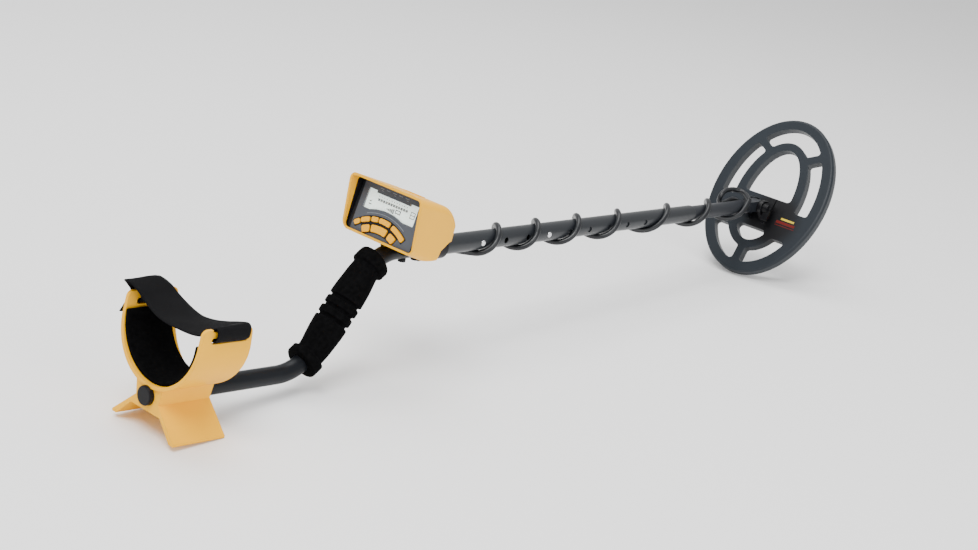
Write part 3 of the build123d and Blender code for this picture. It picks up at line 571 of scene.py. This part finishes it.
# ---- Foam lining of the cuff ---------------------------------------------------------------------
def make_lining():
    """A strip of foam bent to the cuff's wall, with rounded edges and a slight swell."""
    inner, outer, rear, front, centre = 45.0, 48.9, 2.0, 52.5, 60.0
    core = 47                         # the radius at half the foam's thickness
    reach = pi / 2 + 0.05
    corner = 1.5
    profile = []
    for cx, cr, start in ((front - corner, outer - corner, 0), (rear + corner, outer - corner, pi / 2),
                          (rear + corner, inner + corner, pi), (front - corner, inner + corner, 1.5 * pi)):
        for step in range(6):
            angle = start + step / 5 * pi / 2
            profile.append((cx + corner * cos(angle), cr + corner * sin(angle)))
    fine = []
    for (x0, r0), (x1, r1) in zip(profile, profile[1:] + profile[:1]):
        count = max(1, int(abs(x1 - x0) / 2.5))
        for step in range(count):
            fine.append((x0 + (x1 - x0) * step / count, r0 + (r1 - r0) * step / count))
    rings = []
    for step in range(121):
        angle = -reach + 2 * reach * step / 120
        close = min(step, 120 - step) / 2.0
        squeeze = min(1.0, 0.35 + 0.65 * (1 - (1 - min(close, 1)) ** 2) ** 0.5)
        ring = []
        for x, radius in fine:
            swell = 0.18 * sin(angle * 9) * sin((x - rear) / (front - rear) * pi) if radius < 46.9 else 0
            radius = (radius - core) * squeeze + core - swell
            ring.append(on_tail(x, radius * sin(angle), centre - radius * cos(angle)))
        rings.append(ring)
    return skin("cuff_lining", rings, foam_black)


cuff_lining = make_lining()
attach(cuff_lining, "handle")
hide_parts("cuff_pad")


# ---- Webbing strap -------------------------------------------------------------------------------
def webbing_material():
    """Woven nylon webbing: ribs across the strap and yarns along it, by the mesh's own UVs."""
    made, nodes, links, shader = material("webbing_black")
    place = nodes.new("ShaderNodeUVMap").outputs["UV"]
    ribs = add_node(nodes, "ShaderNodeTexWave", Scale=1.0, Distortion=0.6)
    ribs.bands_direction = "X"
    yarns = add_node(nodes, "ShaderNodeTexWave", Scale=1.0, Distortion=0.8)
    yarns.bands_direction = "Y"
    across = add_node(nodes, "ShaderNodeMapping", Scale=(190.0, 60.0, 1.0))
    along = add_node(nodes, "ShaderNodeMapping", Scale=(60.0, 190.0, 1.0))
    fuzz = add_node(nodes, "ShaderNodeTexNoise", Scale=400.0, Detail=4.0)
    for texture, mapping in ((ribs, across), (yarns, along)):
        links.new(place, mapping.inputs["Vector"])
        links.new(mapping.outputs["Vector"], texture.inputs["Vector"])
    links.new(place, fuzz.inputs["Vector"])
    weave = add_node(nodes, "ShaderNodeMath", operation="MULTIPLY")
    links.new(ribs.outputs["Fac"], weave.inputs[0])
    links.new(yarns.outputs["Fac"], weave.inputs[1])
    colours = ramp(nodes, links, weave.outputs["Value"], 0.1, 0.9,
                   (0.002, 0.002, 0.0026), (0.009, 0.009, 0.011))
    links.new(colours, shader.inputs["Base Color"])
    bump = add_node(nodes, "ShaderNodeBump", Strength=0.6, Distance=0.0005)
    rough = add_node(nodes, "ShaderNodeBump", Strength=0.2, Distance=0.0003)
    links.new(weave.outputs["Value"], bump.inputs["Height"])
    links.new(fuzz.outputs["Fac"], rough.inputs["Height"])
    links.new(bump.outputs["Normal"], rough.inputs["Normal"])
    links.new(rough.outputs["Normal"], shader.inputs["Normal"])
    shader.inputs["Roughness"].default_value = 0.82
    shader.inputs["Specular IOR Level"].default_value = 0.12
    return made


webbing_black = webbing_material()
# The strap's rear and front edges, from its loose end outside the left wall, over the left bar,
# across the forearm space, over the right bar and back in through the right slot.
strap_rear = (
    (0, 54.8, 57.5), (4.2, 54.9, 64.4), (8.5, 55.2, 70), (9.5, 55.4, 76), (4, 55.6, 82.5),
    (-1, 54.2, 86.6), (0, 49, 86.5), (3.5, 42, 82.5), (6.5, 34, 75.5), (8, 25, 70), (8.5, 14, 66.3), (9, 2, 64.8),
    (10, -12, 64.6), (11, -26, 65.2), (12, -38, 67.5), (13.2, -46, 73), (14, -50, 77.5), (15, -53, 79.3),
    (15, -56, 77), (15, -56, 71), (15, -54, 67.6), (15, -50, 67.2), (15, -47, 69.5), (15, -46.6, 74))
strap_front = (
    (36, 54.8, 57.5), (37.5, 54.9, 64.4), (38.5, 55.2, 70), (38.5, 55.6, 76), (37.5, 55.8, 83),
    (36, 54.2, 88), (39, 50, 87.3), (44, 44, 83), (47, 36, 77), (48.5, 26, 72.5), (49.5, 14, 68.8), (50, 2, 67.3),
    (51, -12, 69), (51.5, -26, 72.8), (52, -38, 77), (52, -46, 79.6), (52, -50, 80.6), (52, -53.5, 80.4),
    (52, -56, 77.5), (52, -56, 71), (52, -54, 67.6), (52, -50, 67.2), (52, -47, 69.5), (52, -46.6, 74))
# The turn round the left bar, from inside the wall through the left slot.
turn_rear = ((15, 46.2, 77.5), (15, 46.8, 72), (15, 48.5, 68.4), (15, 51, 67.4), (14, 53.6, 68.2),
             (13, 54.3, 72), (12, 54.3, 78))
turn_front = ((52, 46.2, 75.5), (52, 46.8, 72), (52, 48.5, 68.4), (52, 51, 67.4), (51, 53.6, 68.2),
              (47, 54.3, 72), (42, 54.3, 78))
webbing_width = 38


def smooth_line(points, steps):
    """A Catmull-Rom curve through the points, with steps samples in each span."""
    points = [np.array(point, float) for point in points]
    padded_points = [2 * points[0] - points[1], *points, 2 * points[-1] - points[-2]]
    line = []
    for a, b, c, d in zip(padded_points, padded_points[1:], padded_points[2:], padded_points[3:]):
        for step in range(steps):
            t = step / steps
            line.append(0.5 * (2 * b + (c - a) * t + (2 * a - 5 * b + 4 * c - d) * t * t
                               + (3 * b - a - 3 * c + d) * t ** 3))
    line.append(points[-1])
    return np.array(line)


def make_strap(name, rear_points, front_points):
    """A webbing strap between its two edges, with thinner selvedges, a slight wave and UVs along it."""
    rear_edge, front_edge = smooth_line(rear_points, 10), smooth_line(front_points, 10)
    middle = (rear_edge + front_edge) / 2
    forward = np.gradient(middle, axis=0)
    across = front_edge - rear_edge
    normal = np.cross(forward, across)
    normal /= np.linalg.norm(normal, axis=1)[:, None]
    length = np.concatenate([[0], np.cumsum(np.linalg.norm(np.diff(middle, axis=0), axis=1))])
    columns, half = 24, 0.9
    rings, uvs = [], []
    for row in range(len(middle)):
        ring, ring_uv = [], []
        for face, order in ((1, range(columns + 1)), (-1, range(columns, -1, -1))):
            for column in order:
                share = column / columns
                edge = min(share, 1 - share) * columns
                thick = half * (1.0 if edge >= 1 else 0.45)
                crown = 0.25 * sin(length[row] / 7) * sin(share * pi * 2)
                point = rear_edge[row] + across[row] * share + normal[row] * (face * thick + crown)
                ring.append(on_tail(*point))
                ring_uv.append((length[row] * MM, share * webbing_width * MM))
        rings.append(ring)
        uvs.extend(ring_uv)
    made = skin(name, rings, webbing_black)
    layer = made.data.uv_layers.new(name="UVMap")
    for loop in made.data.loops:
        layer.data[loop.index].uv = [value * 10 for value in uvs[loop.vertex_index]]
    return made


cuff_webbing = make_strap("cuff_webbing", strap_rear, strap_front)
cuff_turn = make_strap("cuff_webbing_turn", turn_rear, turn_front)
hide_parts("cuff_strap")
for webbing in (cuff_webbing, cuff_turn):
    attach(webbing, "handle")


# ---- Coil cable ----------------------------------------------------------------------------------
turn_tops = (443.0, 511.0, 587.0, 667.0, 774.0, 869.0, 968.0)
wind_side = 14.6        # wide at the sides, past the spring buttons' tips
wind_top = 13.7
wind_front = 12.9       # on the lower stem
side_step = (690.0, 720.0)
front_step = (900.0, 930.0)


def cable_points():
    """The cable's route in the stems' frame: plug, then its turns round the stems."""
    points = [(347, 20.5, -1), (357, 20.5, -1.2), (368, 20.3, -3), (380, 18, -8), (391, 12.5, -13)]
    tops = (turn_tops[0] - 68.0,) + turn_tops
    for turn, (start, end) in enumerate(zip(tops, tops[1:])):
        first = 8 if turn == 0 else 0
        last = 13 if turn == len(tops) - 2 else 16
        for step in range(first, last):
            share = step / 16
            x = start + (end - start) * share
            past = min(1, max(0, (x - side_step[0]) / (side_step[1] - side_step[0])))
            ahead = min(1, max(0, (x - front_step[0]) / (front_step[1] - front_step[0])))
            side = wind_side + (wind_top - wind_side) * past + (wind_front - wind_top) * ahead
            top = wind_top + (wind_front - wind_top) * ahead
            points.append((x, side * sin(2 * pi * share), top * cos(2 * pi * share)))
    return points


# The slack loop over the stem, down its left side and forward into the coil's strain relief.
loop_points = ((956, -10, 12), (965, 0, 15.6), (968.5, 10, 17.8), (963, 17.5, 18.3), (952, 20.5, 18),
               (941.5, 21.5, 16), (935.5, 22, 9), (937, 22.8, 1), (946, 23.6, -2.5), (958, 24.4, -1),
               (970, 25, 1.6), (980, 25, 1.4), (988, 25, -0.8), (997, 25, -5.6))


def cable_piece(name, points):
    """A mesh tube along one smooth NURBS line through the frame's points, and that line's own points."""
    curve = bpy.data.curves.new(name, "CURVE")
    curve.dimensions = "3D"
    curve.resolution_u = 6
    spline = curve.splines.new("NURBS")
    spline.points.add(len(points) - 1)
    for control, point in zip(spline.points, points):
        control.co = (*at(*point), 1)
    spline.order_u = 3
    spline.use_endpoint_u = True
    source = bpy.data.objects.new(name + "_line", curve)
    bpy.context.collection.objects.link(source)

    def as_mesh():
        bpy.context.view_layer.update()
        return bpy.data.meshes.new_from_object(source.evaluated_get(bpy.context.evaluated_depsgraph_get()))

    path = [tuple(vertex.co) for vertex in as_mesh().vertices]
    curve.bevel_depth = cable_radius
    curve.bevel_resolution = 6
    curve.use_fill_caps = True
    mesh = as_mesh()
    bpy.data.objects.remove(source)
    mesh.shade_smooth()
    mesh.materials.clear()
    mesh.materials.append(cable_pvc)
    made = bpy.data.objects.new(name, mesh)
    bpy.context.collection.objects.link(made)
    return made, path


cable_turns, turns_path = cable_piece("coil_cable_turns", cable_points() + [loop_points[0]])
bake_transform(cable_turns)
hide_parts("cable_wound", "cable_lower")
cable_slack, slack_path = cable_piece("coil_cable_slack", loop_points)
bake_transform(cable_slack)
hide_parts("cable_loop")


# ---- Leaf springs behind the spring buttons -------------------------------------------------------
def spring_arm(name, button_x, side):
    """Half of a folded leaf: from the fold to behind one button."""
    line = ((-15.8, 0), (-15.8, 1.0), (-15.0, 1.8), (-6, 4.35), (-4.6, 4.5), (4.5, 4.5))
    fine = smooth_line([(button_x + x, y, 0) for x, y in line], 6)
    rings = []
    for before, here, after in zip([fine[0], *fine[:-1]], fine, [*fine[1:], fine[-1]]):
        run = (after - before) / np.linalg.norm(after - before)
        across = np.array([-run[1], run[0]]) * 0.4
        rings.append([at(here[0] + across[0] * turn, side * (here[1] + across[1] * turn), height)
                      for turn, height in ((1, 3.5), (1, -3.5), (-1, -3.5), (-1, 3.5))])
    return skin(name, rings, spring_steel, smooth=False)


for clip, button_x, body in (("rear", 412.0, "handle"), ("front", 526.3, "stem")):
    for hand, side in (("left", 1), ("right", -1)):
        arm = spring_arm(f"clip_arm_{clip}_{hand}", button_x, side)
        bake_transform(arm)
        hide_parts(f"clip_leaf_{clip}")


# ---- Display segments ----------------------------------------------------------------------------
def tiles(name, boxes, out, thick, finish, place):
    """Thin raised tiles laid on a face: each box is its low and high corner."""
    verts, faces = [], []
    for u0, v0, u1, v1 in boxes:
        base = len(verts)
        for height in (out, out + thick):
            verts += [place(u, v, height) for u, v in ((u0, v0), (u1, v0), (u1, v1), (u0, v1))]
        faces += [(base + 4, base + 5, base + 6, base + 7), (base, base + 1, base + 5, base + 4),
                  (base + 1, base + 2, base + 6, base + 5), (base + 2, base + 3, base + 7, base + 6),
                  (base + 3, base, base + 4, base + 7), (base + 3, base + 2, base + 1, base)]
    return piece_from(name, verts, faces, finish, smooth=False)


segment_ink = moulded("segment_ink", (0.010, 0.022, 0.030), 0.4)
print_grey = moulded("panel_print", (0.22, 0.24, 0.27), 0.5)
# A row of bars, a slanting scale, a battery sign, ticks over the bars, a box and two dashes.
segment_boxes = [
    *((-20 + 3.4 * step, 36.2, -17.4 + 3.4 * step, 38.6) for step in range(12)),
    *((-6 + 2.1 * step, 31.5 - 0.45 * step, -4.4 + 2.1 * step, 32.4 + 0.5 * step) for step in range(5)),
    (24.5, 32, 30.5, 32.7), (24.5, 35, 30.5, 35.7), (24.5, 38, 30.5, 38.7), (24.5, 32, 25.2, 38.7),
    (29.8, 32, 30.5, 38.7),
    *((-20 + 3.4 * step, 40.4, -19 + 3.4 * step, 41.2) for step in range(12)),
    (5.5, 31, 12.5, 32), (5.5, 34, 12.5, 35), (5.5, 31, 6.5, 35), (11.5, 31, 12.5, 35),
    (-30, 30, -26, 31), (-30, 33, -27, 34)]
segments = tiles("display_segments", segment_boxes, -2.28, 0.12, segment_ink, panel_at)
dashes = [(-20 + 8.5 * step, 48.4, -15 + 8.5 * step, 49.1) for step in range(5)]
dashes += [(-17.5 + 17 * step, 46.6, -15 + 17 * step, 47.2) for step in range(3)]
panel_prints = tiles("panel_prints", dashes, 0.0, 0.05, print_grey, panel_at)


def arc_print(name, reach, width, first, last, finish):
    """A thin printed arc round the middle of the keypad."""
    verts, faces = [], []
    steps = 48
    for step in range(steps + 1):
        angle = radians(first + (last - first) * step / steps)
        for distance in (reach, reach + width):
            u, v = keypad_u + distance * cos(angle), keypad_v + distance * sin(angle)
            verts += [panel_at(u, v, 0), panel_at(u, v, 0.06)]
    for step in range(steps):
        a, b = step * 4, step * 4 + 4
        faces += [(a + 1, b + 1, b + 3, a + 3), (a, a + 2, b + 2, b), (a, b, b + 1, a + 1),
                  (a + 2, a + 3, b + 3, b + 2)]
    return piece_from(name, verts, faces, finish, smooth=False)


panel_arc = arc_print("panel_arc", 60.2, 0.5, 62, 112, print_grey)
for mark in (segments, panel_prints, panel_arc):
    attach(mark, "handle")

# Plain printed bars on the coil's middle band.
label_yellow = moulded("label_yellow", (0.55, 0.40, 0.03), 0.4, shine=0.15)
label_red = moulded("label_red", (0.11, 0.010, 0.008), 0.4, shine=0.15)
coil_bars = (tiles("coil_bar_pale", [(-26.6, -54, -23.8, -34)], 0, 0.08, label_yellow, on_coil),
             tiles("coil_bar_red", [(-32.4, -57, -28.6, -29), (-35.4, -58, -34.4, -29)], 0, 0.08, label_red,
                   on_coil))
for mark in coil_bars:
    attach(mark, "coil")


# ---- Floor and light -----------------------------------------------------------------------------
def make_floor():
    """A large plain pale floor."""
    made, _, _, shader = material("floor_white")
    shader.inputs["Base Color"].default_value = (0.92, 0.92, 0.92, 1)
    shader.inputs["Roughness"].default_value = 0.9
    corners = [(-30, -30, 0), (30, -30, 0), (30, 30, 0), (-30, 30, 0)]
    floor = piece_from("floor", corners, [(0, 1, 2, 3)], made)
    floor.location.z = -0.0005


def area_light(name, place, target, size, power):
    """A round soft light that faces the target."""
    data = bpy.data.lights.new(name, "AREA")
    data.shape = "DISK"
    data.size = size
    data.energy = power
    lamp = bpy.data.objects.new(name, data)
    bpy.context.collection.objects.link(lamp)
    lamp.location = place
    lamp.rotation_mode = "QUATERNION"
    lamp.rotation_quaternion = (Vector(target) - Vector(place)).to_track_quat("-Z", "Y")


make_floor()
middle = (cad_low + cad_high) / 2
area_light("key", (-1.6, -0.4, 2.6), middle, 1.6, 80)
area_light("top", (0.4, 0.8, 2.8), middle, 2.2, 52)
area_light("fill", (-0.6, -2.6, 1.0), middle, 2.0, 26)
world = bpy.data.worlds.new("studio")
world.use_nodes = True
world.node_tree.nodes["Background"].inputs["Color"].default_value = (1, 1, 1, 1)
world.node_tree.nodes["Background"].inputs["Strength"].default_value = 0.9
bpy.context.scene.world = world
